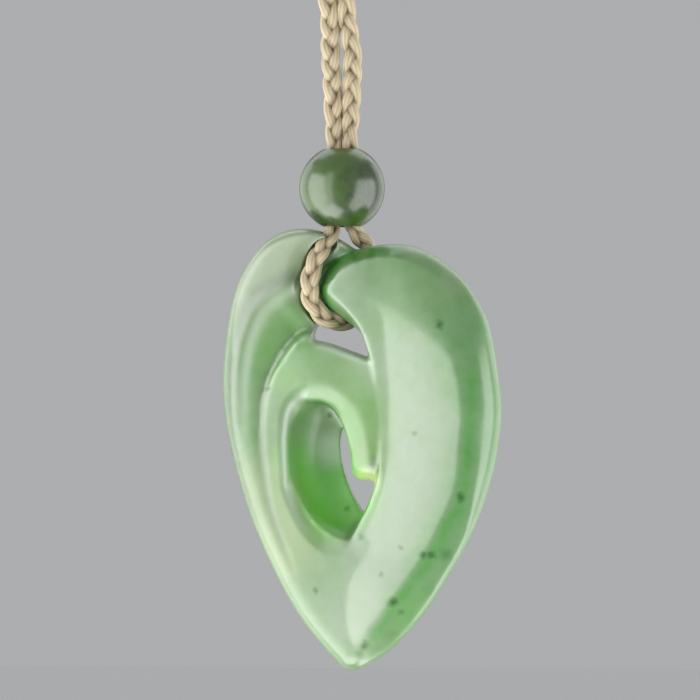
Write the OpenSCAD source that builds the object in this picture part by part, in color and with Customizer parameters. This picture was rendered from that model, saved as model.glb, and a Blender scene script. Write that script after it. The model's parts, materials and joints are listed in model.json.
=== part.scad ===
// Spiral pendant of carved green stone, hanging on a whole loop of plaited cord.
// Millimetres, +Z up, the front of the stone faces -Y, the origin is at the nape of the loop.

/* [Stone] */
// Thickness of the right limb where it is thickest
limb_t = 9.5; // [9:0.1:10.2]
// Thickness of the left body where it is thickest
body_t = 7.4; // [7:0.1:7.8]
// Number of sections along the right limb
limb_rings = 44; // [30:1:60]
// Degrees by which the hanging stone is turned, so that its front looks to the left
turn = 14; // [0:1:16]

/* [Bead] */
// Diameter of the round bead
bead_d = 10; // [9:0.5:10.5]
// Diameter of the hole that takes both strands of the cord
bead_hole_d = 4.8; // [4.7:0.1:5]

/* [Cord] */
// Diameter of the plaited cord
cord_d = 2.3; // [2:0.1:2.3]
// Height of the nape above the middle of the bead
drop = 300; // [260:5:340]
// Clear space between the cord and what it passes
cord_gap = 0.08; // [0.05:0.01:0.15]

/* [Join] */
// Length of the sleeve over the two ends of the cord
join_len = 14; // [10:1:16]
// Outer diameter of the sleeve
join_d = 4.6; // [4:0.2:6]
// Bevel on the outer rims of the sleeve
join_bevel = 0.6; // [0.3:0.1:0.8]

/* [Hidden] */

stone_green = [0.62, 0.74, 0.55];
bead_green = [0.33, 0.45, 0.27];
cord_beige = [0.78, 0.69, 0.6];
join_beige = [0.74, 0.64, 0.54];

cord_r = cord_d / 2;
cord_sides = 8;
// Height of the nape in the table of the cord's route
route_drop = 300;
// Heights between which the cord takes up the turn of the stone
turn_start = -3;
turn_end = -6;
// Length of the cuts that make the two holes, well past both faces
hole_cut = 30;

// Columns of the tables below. Every length is measured from the middle of the bead.
X = 0;
Z = 1;

// Edge of the left body, clockwise from the top of the left shoulder.
// Columns: x, z.
body_edge = [
    [-5.2, -4.7],
    [-1.8, -5.2],
    [1.8, -7.3],
    [6, -11],
    [10, -17],
    [12.5, -24],
    [13, -31],
    [12, -38],
    [9, -45.5],
    [5.4, -52.5],
    [2.8, -55.4],
    [1.2, -56],
    [-0.4, -55.2],
    [-4.7, -50.3],
    [-7.9, -44.8],
    [-11.3, -37.1],
    [-13.6, -28.7],
    [-14.2, -22.9],
    [-13.7, -16.9],
    [-12.5, -11.5],
    [-10.3, -7.5],
    [-8, -5.5]
];
edge_steps = 4;
edge_points = len(body_edge) * edge_steps;

// Rounding of the left body from its edge to the middle of its face.
// Columns: share of the way in, share of the full height.
INSET = 0;
RISE = 1;
body_rounding = [
    [0, 0],
    [0.015, 0.3],
    [0.05, 0.56],
    [0.1, 0.76],
    [0.17, 0.9],
    [0.3, 0.98],
    [0.6, 1]
];
body_axis_x = 1;
body_axis_top = -16;
body_axis_low = -44;

// Right limb from its head, over the top and down the right side to the tip.
// Columns: outer edge x and z, inner edge x and z, share of the full thickness.
LIMB_THICK = 4;
limb_rows = [
    [-2.5, -11.2, -2.5, -12.4, 0.4],
    [-2, -9.6, -2.1, -13.8, 0.82],
    [-0.3, -8.1, -1, -14.9, 0.96],
    [1.9, -7.2, 1, -15.2, 1],
    [5, -6.6, 2.2, -16.8, 1],
    [9.2, -7.1, 2.9, -18.4, 1],
    [13.4, -9.9, 3.4, -20, 1],
    [16.4, -14.1, 3.9, -22.3, 1],
    [17.7, -18.3, 4.2, -24.7, 1],
    [18.6, -24.9, 4.5, -27.6, 1],
    [18.3, -29.3, 4.5, -31, 1],
    [17.3, -34.3, 4, -34.2, 1],
    [15.3, -39.9, 2.8, -37.3, 1],
    [13, -44.1, 0.9, -40.9, 0.98],
    [9.9, -49, -0.8, -45.6, 0.92],
    [6.3, -53.1, -1, -50.2, 0.78],
    [3.4, -55.2, -0.2, -53.6, 0.54],
    [1.6, -56, 0.7, -55.6, 0.2]
];

// Front of the right limb's section: a flat strip at the inner wall, a face that rises to a crest, the outer roll.
// Columns: share of the way across, share of the thickness.
ACROSS = 0;
HEIGHT = 1;
limb_front = [
    [0, 0.15],
    [0.005, 0.35],
    [0.03, 0.4],
    [0.08, 0.41],
    [0.2, 0.464],
    [0.35, 0.516],
    [0.5, 0.55],
    [0.68, 0.567],
    [0.78, 0.543],
    [0.85, 0.495],
    [0.91, 0.426],
    [0.955, 0.342],
    [0.985, 0.232]
];
// Back of the section. Columns as for the front.
limb_back = [
    [0.985, 0.14],
    [0.94, 0.24],
    [0.85, 0.335],
    [0.7, 0.405],
    [0.45, 0.433],
    [0.15, 0.43],
    [0.05, 0.4],
    [0.01, 0.3]
];

// Spiral arm, from the left of the eye, over it and down to the free tip.
// Columns: outer edge x and z, inner edge x and z, front height, back height.
ARM_FRONT = 4;
ARM_BACK = 5;
arm_rows = [
    [-8.3, -34, -6.7, -34, 3.5, 2.6],
    [-8.6, -29.3, -6.9, -29.3, 3.7, 3],
    [-8.5, -23.7, -6, -26.4, 3.7, 3.3],
    [-7.5, -21.2, -4.9, -25.2, 3.6, 3.3],
    [-5.6, -18.6, -3.4, -24.9, 3.4, 3.3],
    [-3, -17.8, -2, -25.3, 3.4, 3.3],
    [0.4, -18.4, -0.7, -26.6, 3.4, 3.3],
    [3.4, -20, 0, -28, 3.3, 3.3],
    [4.6, -23, 0.6, -29.1, 3.2, 3.2],
    [5.1, -27, 1, -30.8, 3, 3],
    [5, -30.5, 0.9, -32.2, 2.8, 2.8],
    [4.6, -32.6, 1.3, -33.2, 2.3, 2.3],
    [4, -33.8, 2.3, -34, 1.3, 1.3]
];
arm_rings = 36;
arm_sides = 16;
arm_round = 2.6;

// Channel between the left rim and the arm, cut as by a ball that is drawn along it.
// Columns: x, z, radius of the ball, depth below the face.
BALL_R = 2;
DEPTH = 3;
channel_rows = [
    [-2.8, -15.8, 2.6, 3.9],
    [-4.9, -15.1, 2.6, 3.1],
    [-6.9, -15.9, 2.6, 2.7],
    [-8.6, -18.3, 2.4, 2.3],
    [-9.5, -21.2, 2.1, 2],
    [-10, -24.7, 1.8, 1.7],
    [-9.9, -28.1, 1.7, 1.5],
    [-9.3, -32.2, 1.6, 1.3],
    [-8.4, -36.3, 1.5, 1.1],
    [-7.1, -40.4, 1.4, 0.9],
    [-6, -43.8, 1.3, 0.6],
    [-5.2, -47, 1.2, 0.25]
];
ball_facets = 24;

// Crevice round the end of the head, in which the cord lies. Columns as for the channel.
crevice_rows = [
    [3, -4.5, 3.4, 2],
    [0.4, -6.8, 3.4, 2.1],
    [-1.9, -8.6, 3.2, 2.1],
    [-3.5, -11.2, 3, 2.3],
    [-3.4, -14, 2.8, 2.9]
];

// Bowl of the eye: an egg-shaped hollow that leans and falls away to the right.
eye_middle = [0.6, -4.6, -32];
eye_radii = [7.6, 6.8, 9.2];
eye_lean = -12;
eye_facets = 40;

// Upper hole, between the arm and the right limb. Columns: x, z.
upper_hole = [
    [-3.4, -17.4],
    [-3.1, -16.3],
    [-2, -15],
    [0.5, -14.4],
    [3, -15],
    [6.5, -19],
    [6.5, -21],
    [3.2, -20.4],
    [0.8, -19.3],
    [-1.2, -18.8],
    [-2.9, -18.3]
];

// Lower hole, from the foot of the eye. Columns: x, z.
lower_hole = [
    [0.1, -27.8],
    [-0.3, -29.9],
    [0, -32.4],
    [0.9, -35.1],
    [2, -37],
    [3, -38.2],
    [6, -36],
    [5.5, -33],
    [2.6, -32.8],
    [1.8, -31],
    [1.2, -29]
];

// Route of the cord's middle line, from the nape down the left, round the stone and up the right.
// Columns: x, y, z from the middle of the bead. Heights over the bead follow drop.
route = [
    [-0.6, 0, 300],
    [-8, 0, 300],
    [-17, 0, 299],
    [-38, 0, 288],
    [-55, 0, 260],
    [-58, 0, 215],
    [-46, 0, 154],
    [-26, 0, 90],
    [-9, 0, 46],
    [-2.3, 0, 25],
    [-1.3, 0, 15],
    [-0.95, 0, 7],
    [-0.95, 0, 0],
    [-0.95, 0, -3.2],
    [-1.3, -0.9, -5.5],
    [-2.4, -2.5, -7.4],
    [-3.4, -3.3, -9.8],
    [-3.6, -3.2, -12.4],
    [-2.6, -2.2, -14.5],
    [-0.7, -0.2, -15.5],
    [1.2, 2.4, -15.1],
    [2.5, 4.7, -13.6],
    [3.1, 5.5, -11.2],
    [3.2, 4.1, -8.6],
    [2.7, 2.3, -6.5],
    [1.4, 0.6, -5],
    [0.95, 0, -3],
    [0.95, 0, 0],
    [0.95, 0, 7],
    [1.2, 0, 15],
    [0.8, 0, 25],
    [7, 0, 46],
    [25, 0, 90],
    [46, 0, 154],
    [58, 0, 215],
    [55, 0, 260],
    [38, 0, 288],
    [17, 0, 299],
    [8, 0, 300],
    [0.6, 0, 300]
];
// Rows at which the plain loop, the two straight strands and the small loop round the stone begin and end.
left_strand = 9;
small_loop = 13;
small_loop_end = 27;
right_strand_end = 30;
// The two strands press each other flat in and near the bead.
// Columns: distance over or under the middle of the bead, half width, half depth.
squeeze = [
    [0, 0.88, 1.3],
    [5.2, 0.88, 1.3],
    [7, 1, 1.2],
    [9.5, cord_r, cord_r]
];

// Value between the rows of a table at a fraction of a row, on a smooth curve through them.
function row(table, i) = table[max(0, min(len(table) - 1, i))];
function smooth_blend(a, b, c, d, f) =
    b + f * (c - a) / 2
    + f * f * (a - 2.5 * b + 2 * c - d / 2)
    + f * f * f * (1.5 * (b - c) + (d - a) / 2);
function row_at(table, t) =
    let (i = floor(t), f = t - i)
    smooth_blend(row(table, i - 1), row(table, i), row(table, i + 1), row(table, i + 2), f);
function loop_row(table, i) = table[(i + len(table)) % len(table)];
function loop_row_at(table, t) =
    let (i = floor(t), f = t - i)
    smooth_blend(
        loop_row(table, i - 1), loop_row(table, i), loop_row(table, i + 1), loop_row(table, i + 2), f
    );
function unit(v) = v / norm(v);
function power(v, p) = sign(v) * pow(abs(v), p);

// Faces of a tube of rings with the same number of points, closed at both ends.
function ring_faces(rings, sides) = concat(
    [[for (j = [0 : sides - 1]) j]],
    [
        for (i = [0 : rings - 2])
            for (j = [0 : sides - 1])
                for (
                    f = [
                        [i * sides + j, (i + 1) * sides + (j + 1) % sides, i * sides + (j + 1) % sides],
                        [i * sides + j, (i + 1) * sides + j, (i + 1) * sides + (j + 1) % sides]
                    ]
                )
                    f
    ],
    [[for (j = [sides - 1 : -1 : 0]) (rings - 1) * sides + j]]
);

// Left body: its edge, drawn in towards an upright line and raised, front and back.
body_levels = len(body_rounding);
function inward(p, share) =
    let (axis_z = max(body_axis_low, min(body_axis_top, p[Z])))
    [p[X] + (body_axis_x - p[X]) * share, p[Z] + (axis_z - p[Z]) * share];
function body_ring(level, side) = [
    for (k = [0 : edge_points - 1])
        let (p = inward(loop_row_at(body_edge, k / edge_steps), body_rounding[level][INSET]))
        [p[X], side * body_rounding[level][RISE] * body_t / 2, p[Z]]
];
body_points = [
    for (level = [body_levels - 1 : -1 : 1]) each body_ring(level, -1),
    for (level = [0 : body_levels - 1]) each body_ring(level, 1)
];

module left_body() {
    polyhedron(points = body_points, faces = ring_faces(2 * body_levels - 1, edge_points));
}

// Right limb: its section, placed across each row.
limb_profile = [
    for (i = [len(limb_back) - 1 : -1 : 0]) limb_back[i],
    [1, 0],
    for (i = [len(limb_front) - 1 : -1 : 0]) [limb_front[i][ACROSS], -limb_front[i][HEIGHT]]
];
limb_sides = len(limb_profile);
function limb_ring(t) =
    let (r = row_at(limb_rows, t))
    [
        for (p = limb_profile)
            [
                r[2] + (r[0] - r[2]) * p[ACROSS],
                p[HEIGHT] * r[LIMB_THICK] * limb_t,
                r[3] + (r[1] - r[3]) * p[ACROSS]
            ]
    ];
limb_points = [
    for (i = [0 : limb_rings - 1]) each limb_ring(i * (len(limb_rows) - 1) / (limb_rings - 1))
];

module right_limb() {
    polyhedron(points = limb_points, faces = ring_faces(limb_rings, limb_sides));
}

// Spiral arm: a rounded section, placed across each row.
function arm_ring(t) =
    let (r = row_at(arm_rows, t))
    [
        for (j = [0 : arm_sides - 1])
            let (
                a = 360 * j / arm_sides,
                across = 0.5 - 0.5 * power(cos(a), 2 / arm_round),
                high = power(sin(a), 2 / arm_round)
            )
            [
                r[2] + (r[0] - r[2]) * across,
                high < 0 ? high * r[ARM_FRONT] : high * r[ARM_BACK],
                r[3] + (r[1] - r[3]) * across
            ]
    ];
arm_points = [
    for (i = [0 : arm_rings - 1]) each arm_ring(i * (len(arm_rows) - 1) / (arm_rings - 1))
];

module arm() {
    polyhedron(points = arm_points, faces = ring_faces(arm_rings, arm_sides));
}

module groove_ball(r) {
    translate([r[X], -body_t / 2 - r[BALL_R] + r[DEPTH], r[Z]]) sphere(r[BALL_R], $fn = ball_facets);
}

module groove(rows) {
    for (i = [0 : len(rows) - 2]) {
        hull() {
            groove_ball(rows[i]);
            groove_ball(rows[i + 1]);
        }
    }
}

module eye_bowl() {
    translate(eye_middle) rotate([0, eye_lean, 0]) scale(eye_radii) sphere(1, $fn = eye_facets);
}

module through_hole(outline) {
    rotate([90, 0, 0]) linear_extrude(hole_cut, center = true) polygon(outline);
}

// Cord: an eight-sided tube along its route.
// Under the bead it turns with the stone.
function turned(z) = tan(turn) * max(0, min(1, (turn_start - z) / (turn_start - turn_end)));
function route_point(i) =
    let (p = route[i])
    [p[0], p[1] - turned(p[2]) * p[0], p[2] > 0 ? p[2] * drop / route_drop : p[2]];
cord_line = [for (i = [0 : len(route) - 1]) route_point(i)];
function steps(from, to, each_row) = [for (i = [from : to - 1]) for (k = [0 : each_row - 1]) i + k / each_row];
cord_steps = [
    each steps(0, left_strand, 2),
    each steps(left_strand, small_loop, 1),
    each steps(small_loop, small_loop_end, 3),
    each steps(small_loop_end, right_strand_end, 1),
    each steps(right_strand_end, len(route) - 1, 2),
    len(route) - 1
];
function squeeze_at(away, i = 0) =
    i >= len(squeeze) - 1 || away <= squeeze[i][0]
        ? squeeze[min(i, len(squeeze) - 1)]
        : away < squeeze[i + 1][0]
            ? squeeze[i] + (squeeze[i + 1] - squeeze[i]) * (away - squeeze[i][0])
                / (squeeze[i + 1][0] - squeeze[i][0])
            : squeeze_at(away, i + 1);
function cord_ring(t, extra) =
    let (
        middle = row_at(cord_line, t),
        along = unit(row_at(cord_line, min(t + 0.02, len(route) - 1)) - row_at(cord_line, max(t - 0.02, 0))),
        depth_way = unit([0, 1, 0] - along[1] * along),
        width_way = cross(depth_way, along),
        size = squeeze_at(abs(middle[2]))
    )
    [
        for (j = [0 : cord_sides - 1])
            let (a = 360 * j / cord_sides)
            middle + width_way * cos(a) * (size[1] + extra) + depth_way * sin(a) * (size[2] + extra)
    ];

module cord_tube(extra = 0) {
    polyhedron(
        points = [for (t = cord_steps) each cord_ring(t, extra)],
        faces = ring_faces(len(cord_steps), cord_sides)
    );
}

// Sub-parts
module pendant() {
    color(stone_green)
        translate([0, 0, -drop])
            difference() {
                multmatrix([[1, 0, 0, 0], [-tan(turn), 1, 0, 0], [0, 0, 1, 0]])
                    union() {
                        difference() {
                            left_body();
                            groove(channel_rows);
                            groove(crevice_rows);
                            eye_bowl();
                            through_hole(upper_hole);
                            through_hole(lower_hole);
                        }
                        right_limb();
                        arm();
                    }
                cord_tube(2 * cord_gap);
            }
}

module bead() {
    color(bead_green)
        translate([0, 0, -drop])
            difference() {
                sphere(d = bead_d, $fn = 96);
                cylinder(d = bead_hole_d, h = 2 * bead_d, center = true, $fn = 64);
            }
}

module cord() {
    color(cord_beige) translate([0, 0, -drop]) cord_tube();
}

module cord_join() {
    bore_r = cord_r + 2 * cord_gap;
    color(join_beige)
        rotate([0, 90, 0])
            rotate_extrude($fn = 64)
                translate([bore_r, -join_len / 2])
                    difference() {
                        square([join_d / 2 - bore_r, join_len]);
                        for (end = [0, 1]) {
                            translate([join_d / 2 - bore_r, end * join_len])
                                rotate(45)
                                    square(join_bevel * sqrt(2), center = true);
                        }
                    }
}

pendant();
bead();
cord();
cord_join();
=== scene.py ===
# %% [markdown]
# # A spiral pendant of green stone on a plaited cord
# The frame holds four plain solids at their real size: the stone, the bead, the cord and the join at
# the nape. This lesson gives each of them its true surface. The stone is lofted, carved and remeshed,
# the bead is turned from one section, the cord is plaited from three strands that follow the frame's
# route, and the join is a whipping of thread.

# %% Load the frame
import json
import math

import bpy
import numpy as np
from mathutils import Matrix, Vector

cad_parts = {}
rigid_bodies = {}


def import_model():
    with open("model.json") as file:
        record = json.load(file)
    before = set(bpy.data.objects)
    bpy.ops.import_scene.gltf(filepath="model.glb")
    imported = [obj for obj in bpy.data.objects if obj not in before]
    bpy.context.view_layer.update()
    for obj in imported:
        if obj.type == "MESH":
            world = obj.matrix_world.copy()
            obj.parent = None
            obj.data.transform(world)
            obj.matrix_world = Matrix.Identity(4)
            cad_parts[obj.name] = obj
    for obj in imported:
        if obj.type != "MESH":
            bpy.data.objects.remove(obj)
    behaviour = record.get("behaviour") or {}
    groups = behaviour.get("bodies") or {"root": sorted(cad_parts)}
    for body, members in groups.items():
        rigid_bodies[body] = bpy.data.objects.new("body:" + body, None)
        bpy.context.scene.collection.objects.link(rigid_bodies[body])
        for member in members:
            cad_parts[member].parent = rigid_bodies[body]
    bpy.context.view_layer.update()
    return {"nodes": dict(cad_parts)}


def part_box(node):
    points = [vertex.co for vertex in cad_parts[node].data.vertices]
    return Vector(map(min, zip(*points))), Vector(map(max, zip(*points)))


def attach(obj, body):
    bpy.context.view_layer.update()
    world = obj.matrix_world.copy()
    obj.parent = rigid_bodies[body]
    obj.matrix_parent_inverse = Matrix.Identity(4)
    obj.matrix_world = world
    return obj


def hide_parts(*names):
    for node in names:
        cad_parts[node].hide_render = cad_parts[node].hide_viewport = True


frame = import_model()
print("nodes:", ", ".join(frame["nodes"]))

# %% [markdown]
# ## Sizes that the whole lesson shares
# The stone and the cord are described by short tables in millimetres, measured from the middle of the
# bead, with x to the right, y away from the front and z up. The camera needs to know how many pixels
# of the 700 by 700 picture show one millimetre, and which pixel shows the middle of the bead.

# %% Shared sizes
MM = 0.001
PICTURE = 700
PIXELS_PER_MM = 8.6
BEAD_PIXEL = (342, 188)

bead_low, bead_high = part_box("bead")
bead_middle = (bead_low + bead_high) / 2
bead_radius = (bead_high.y - bead_low.y) / 2 / MM
print("bead radius in mm:", round(bead_radius, 2), "middle:", tuple(round(c, 4) for c in bead_middle))

# Degrees by which the hanging stone is turned, so that its front looks to the left
STONE_TURN = 14
lean = math.tan(math.radians(STONE_TURN))

# %% [markdown]
# ## Helpers for tables and meshes
# A carver thinks in a few sections and a smooth line through them. `on_curve` reads such a table
# between its rows, `curve_points` reads it step by step, and `loft` skins a closed shell over rings of
# points. The other helpers select one object at a time, because an operator acts on all that is
# selected.

# %% Tables read on a smooth curve
def on_curve(table, t, closed=False):
    """The row of a table at a fraction of a row, on a smooth curve through the rows."""
    rows = np.asarray(table, dtype=float)
    count = len(rows)
    i = math.floor(t)
    f = t - i
    picks = [(i + k) % count if closed else max(0, min(count - 1, i + k)) for k in (-1, 0, 1, 2)]
    a, b, c, d = rows[picks]
    line = b + (c - a) * f / 2
    bow = (a - 2.5 * b + 2 * c - d / 2) * f ** 2 + (1.5 * (b - c) + (d - a) / 2) * f ** 3
    return line + bow


def curve_points(table, steps, closed=False):
    """Points on a smooth curve through a table's rows, some steps from row to row."""
    count = len(table) * steps if closed else (len(table) - 1) * steps + 1
    return np.array([on_curve(table, k / steps, closed) for k in range(count)])


def read_off(table, x):
    """A table's other columns at values of its first, on straight lines between the rows."""
    rows = np.asarray(table, dtype=float)
    return [np.interp(x, rows[:, 0], column) for column in rows[:, 1:].T]


# %% One object at a time
def only(piece):
    """Selects one object and makes it the active one."""
    bpy.ops.object.select_all(action="DESELECT")
    piece.select_set(True)
    bpy.context.view_layer.objects.active = piece


def finished(piece, kind, **settings):
    """Adds a modifier with its settings and applies it."""
    only(piece)
    bpy.ops.object.modifier_add(type=kind)
    modifier = piece.modifiers[-1]
    for name, value in settings.items():
        setattr(modifier, name, value)
    bpy.ops.object.modifier_apply(modifier=modifier.name)


def outward(piece):
    """Merges doubles and turns every face of a closed mesh outwards."""
    only(piece)
    bpy.ops.object.mode_set(mode="EDIT")
    bpy.ops.mesh.select_all(action="SELECT")
    bpy.ops.mesh.remove_doubles(threshold=1e-6)
    bpy.ops.mesh.normals_make_consistent(inside=False)
    bpy.ops.object.mode_set(mode="OBJECT")
    return piece


def carved(piece, tool, how="DIFFERENCE"):
    """Cuts a piece with a tool, or joins the tool to it, and puts the tool away."""
    finished(piece, "BOOLEAN", operation=how, object=tool, solver="MANIFOLD")
    bpy.data.objects.remove(tool)


def in_frame(middle):
    """The way from millimetres round a middle to metres in the frame."""
    return Matrix.Translation(middle) @ Matrix.Scale(MM, 4)


def settled(piece, way):
    """Takes a finished mesh to its place and shades it smooth."""
    piece.data.transform(way)
    only(piece)
    bpy.ops.object.shade_smooth()
    return piece


# %% Lofts
def ring_faces(rings, sides, start=0):
    """The two closed ends, and the faces between rings of points."""
    last = start + (rings - 1) * sides
    faces = [tuple(range(start, start + sides)), tuple(range(last, last + sides))]
    for first in range(start, last, sides):
        for j in range(sides):
            k = (j + 1) % sides
            faces.append((first + j, first + k, first + sides + k, first + sides + j))
    return faces


def new_piece(name, points, faces):
    """A new object made of points and faces."""
    mesh = bpy.data.meshes.new(name)
    mesh.from_pydata(points, [], faces)
    piece = bpy.data.objects.new(name, mesh)
    bpy.context.collection.objects.link(piece)
    return piece


def loft(name, rings):
    """A closed shell over rings with the same number of points."""
    points = [tuple(p) for ring in rings for p in ring]
    return outward(new_piece(name, points, ring_faces(len(rings), len(rings[0]))))


def circle(middle, first, second, radius, sides):
    """Points of a circle round a middle, in the plane of two directions."""
    angles = [2 * math.pi * j / sides for j in range(sides)]
    return [middle + first * (radius * math.cos(a)) + second * (radius * math.sin(a)) for a in angles]


# %% [markdown]
# ## The stone: the left body
# On the real pendant the left half is one smooth pebble-like slab: its edge rolls up from the outline
# to a nearly flat face, into which the channel is cut. It could be a bevelled plate, but a bevel is
# equally wide all round, and here the roll widens with the width of the stone. So the outline is
# drawn in towards an upright line in the middle, in rings that rise as they go, and the rings are
# lofted. Everything is carved before it is turned, and a thousand times as large, because voxels and
# booleans work best near unit size.

# %% Outline of the left body
# Clockwise from the top of the left shoulder. Columns: x, z.
body_edge = [
    (-5.2, -4.7), (-1.8, -5.2), (1.8, -7.3), (6, -11), (10, -17), (12.5, -24), (13, -31), (12, -38),
    (9, -45.5), (5.4, -52.5), (2.8, -55.4), (1.2, -56), (-0.4, -55.2), (-4.7, -50.3), (-7.9, -44.8),
    (-11.3, -37.1), (-13.6, -28.7), (-14.2, -22.9), (-13.7, -16.9), (-12.5, -11.5), (-10.3, -7.5),
    (-8, -5.5),
]
EDGE_STEPS = 24
body_outline = curve_points(body_edge, EDGE_STEPS, closed=True)
body_height = 3.7
# Upright line towards which the rings close: x, top and foot
middle_x, middle_top, middle_foot = 1, -16, -38

# Columns: share of the way in, share of the full height.
front_roll = [
    (0, 0), (0.002, 0.14), (0.006, 0.28), (0.012, 0.41), (0.021, 0.54), (0.033, 0.66), (0.048, 0.76),
    (0.066, 0.84), (0.09, 0.905), (0.12, 0.95), (0.16, 0.977), (0.21, 0.99), (0.28, 1),
]
back_roll = [
    (0.003, 0.14), (0.01, 0.28), (0.022, 0.42), (0.04, 0.56), (0.065, 0.7), (0.095, 0.82), (0.13, 0.91),
    (0.175, 0.97), (0.24, 0.995), (0.4, 1), (0.7, 1), (0.95, 1),
]

# %% [markdown]
# ## The stone: what is carved into the left body
# The carver leaves a shallow valley round the head of the right limb, where the cord lies, and a
# channel between a soft crest near the rim and a ridge beside the eye. The channel sinks slowly from
# the crest and rises steeply to the ridge, and it runs out towards the foot. Under the spiral arm the
# face lies lower, and the eye has a bevelled rim. These are all lower or higher places of one face,
# so each is a drop that depends on how far a point lies from a line, and the rings are lowered by the
# sum of the drops.

# %% Distance to a carved line
LINE_STEPS = 8


def smooth_line(points):
    """A smooth open line through a table's points."""
    return curve_points(points, LINE_STEPS)


def beside(points, line):
    """How far each point lies to the left of a line, as the line runs, and the share of its length."""
    starts, steps = line[:-1], np.diff(line, axis=0)
    apart = points[:, None, :] - starts[None, :, :]
    along = np.clip((apart * steps).sum(2) / (steps ** 2).sum(1), 0, 1)
    gap = apart - steps * along[:, :, None]
    far = np.hypot(gap[:, :, 0], gap[:, :, 1])
    nearest = far.argmin(1)
    pick = np.arange(len(points))
    way = steps[nearest]
    offset = gap[pick, nearest]
    side = np.sign(way[:, 0] * offset[:, 1] - way[:, 1] * offset[:, 0])
    return far[pick, nearest] * side, (nearest + along[pick, nearest]) / len(steps)


def eased(x, low, high):
    """A smooth step from nought to one."""
    t = np.clip((x - low) / (high - low), 0, 1)
    return t * t * (3 - 2 * t)


# %% Lines of the carving
# Columns: x, z. All run downwards, with the channel's crest and ridge from the head to the foot.
crest_line = smooth_line([
    (-2.2, -10.8), (-4.7, -11.1), (-6.6, -11.7), (-8.4, -12.7), (-9.8, -14.1), (-10.7, -15.7),
    (-11.5, -17.8), (-12, -20.3), (-12.3, -23), (-12.3, -26), (-12.2, -29.3), (-11.8, -31.9),
    (-11.2, -34), (-10.4, -35.9), (-9.2, -38.7), (-7.7, -41.9), (-6.3, -44.8), (-4.9, -47.7),
])
ridge_line = smooth_line([
    (-2.4, -16.8), (-4.3, -17.2), (-5.6, -18.4), (-6.7, -19.9), (-7.7, -21.6), (-8.3, -23.3),
    (-8.65, -25.3), (-8.75, -28.2), (-8.5, -31.1), (-8.2, -33.4), (-7.8, -36.1), (-7.1, -38.7),
    (-6.3, -40.9), (-5.4, -43), (-4.9, -45), (-4.5, -47.7),
])
head_line = smooth_line([
    (4.5, -6.2), (2.4, -7.3), (-0.9, -8.3), (-2.2, -10), (-2.7, -12), (-2.3, -13.8), (-1.2, -15.4),
])
eye_line = smooth_line([
    (-4.4, -24.7), (-5.4, -26), (-5.9, -27.6), (-6.1, -29.3), (-6.1, -31.6), (-5.9, -34), (-5.4, -36.1),
    (-4.6, -38.1), (-3.3, -39.6), (-1.5, -40.7), (0.8, -40.8),
])

# Columns: share of the channel's length, depth in millimetres.
channel_depth = [
    (0, 1.6), (0.2, 1.6), (0.38, 1.15), (0.46, 0.65), (0.53, 0.38), (0.65, 0.3), (0.8, 0.28), (0.9, 0.22),
    (1, 0.05),
]
# Columns: share of the way from crest to ridge, share of the depth.
channel_profile = [
    (0, 0), (0.15, 0.02), (0.3, 0.07), (0.42, 0.16), (0.55, 0.33), (0.7, 0.6), (0.85, 0.88), (1, 1),
]
# Columns: share of the channel's length, width of the ridge's flank.
ridge_flank = [(0, 0.45), (0.4, 0.45), (0.55, 0.8), (1, 1.3)]
# Width of the ridge's inner flank, how deep the face lies under the spiral arm, and the heights
# between which it goes down to there
hidden_flank = 2.2
under_arm_drop = 1.35
under_arm_heights = (-29, -26)
# The swell just outside the crest: height, width, how far out, and where along the crest it fades
swell_height, swell_width, swell_out = 0.3, 0.8, 0.25
swell_fade = (0.45, 0.75)
# The valley, and the depth from which it takes the swell away
valley_depth, valley_width = 2.6, 2.1
swell_limit = 0.5
# Columns: share of the length of the eye's line, width of the bevel, its drop.
eye_bevel = [
    (0, 1.2, 1), (0.5, 1.2, 1), (0.7, 0.95, 0.75), (0.8, 1.3, 0.6), (0.9, 1.8, 0.45), (1, 1.8, 0.35),
]
# How far the bevel goes on inside the eye, as a share of its drop, and how it bows
bevel_limit, bevel_bow = 1.3, 1.2


def carved_drop(points):
    """How deep each point of the face is carved."""
    into, along = beside(points, crest_line)
    off_ridge = -beside(points, ridge_line)[0]
    share = np.clip(into / np.maximum(into + off_ridge, 1e-6), 0, 1)
    channel = np.interp(along, *zip(*channel_depth)) * np.interp(share, *zip(*channel_profile))
    channel *= (into > 0) * eased(off_ridge / np.interp(along, *zip(*ridge_flank)), 0, 1)
    under_arm = eased(points[:, 1], *under_arm_heights)
    channel += under_arm_drop * under_arm * eased(-off_ridge, 0, hidden_flank) * (into > 0)
    swell = swell_height * np.exp(-((into + swell_out) / swell_width) ** 2)
    swell *= 1 - eased(along, *swell_fade)
    valley = valley_depth * np.exp(-(beside(points, head_line)[0] / valley_width) ** 2)
    off_eye, along_eye = beside(points, eye_line)
    bevel_width, bevel_drop = read_off(eye_bevel, along_eye)
    bevel = bevel_drop * np.clip(1 + off_eye / bevel_width, 0, bevel_limit) ** bevel_bow
    bevel *= 1 - under_arm
    # Of channel and valley the deeper one counts, with a soft change from one to the other
    deeper = (channel ** 3 + valley ** 3) ** (1 / 3)
    return deeper + bevel - swell * (valley < swell_limit)


# %% Loft the carved body
def body_ring(share, height):
    """The outline drawn in by a share of the way to the upright line, at one height."""
    ring = []
    for x, z in body_outline:
        goal = min(middle_top, max(middle_foot, z))
        ring.append((x + (middle_x - x) * share, height, z + (goal - z) * share))
    return ring


# Rings are close together on the roll and evenly spaced over the flat, in shares of the way in
roll_end = 0.07
flat_start, flat_end, flat_step = 0.078, 0.97, 0.012
front_shares = [share for share, _ in front_roll if share < roll_end]
front_shares += list(np.arange(flat_start, flat_end, flat_step))
# Towards the top the roll gets tighter: by how much, and between which heights
top_tightness = 0.9
top_heights = (-24, -11)
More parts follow.
